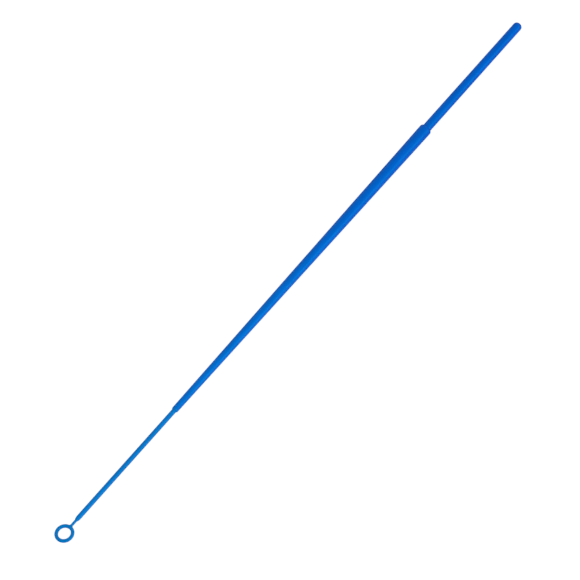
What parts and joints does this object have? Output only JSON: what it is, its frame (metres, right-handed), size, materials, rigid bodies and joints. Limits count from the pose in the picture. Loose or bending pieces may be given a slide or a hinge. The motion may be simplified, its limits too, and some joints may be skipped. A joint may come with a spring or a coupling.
{
  "type": "inoculating loop",
  "caption": "Slim disposable inoculating loop: a calibrated ring on a thin neck and stem, a long tapered grip with stepped ends and a round tail rod.",
  "frame": {"origin": "centre of the loop's eye, on the shaft's axis", "axes": "+X along the shaft from the ring to the tail, +Z square to the ring, which lies in the XY plane"},
  "size_m": [0.2, 0.0058, 0.0036],
  "materials": {
    "blue_polystyrene": "smooth satin, very slightly translucent"
  },
  "bodies": {
    "root": {"loop_ring": "blue_polystyrene", "loop_neck": "blue_polystyrene", "stem_nose": "blue_polystyrene", "stem": "blue_polystyrene", "grip": "blue_polystyrene", "grip_shoulder": "blue_polystyrene", "tail_rod": "blue_polystyrene", "tail_tip": "blue_polystyrene"}
  },
  "joints": []
}
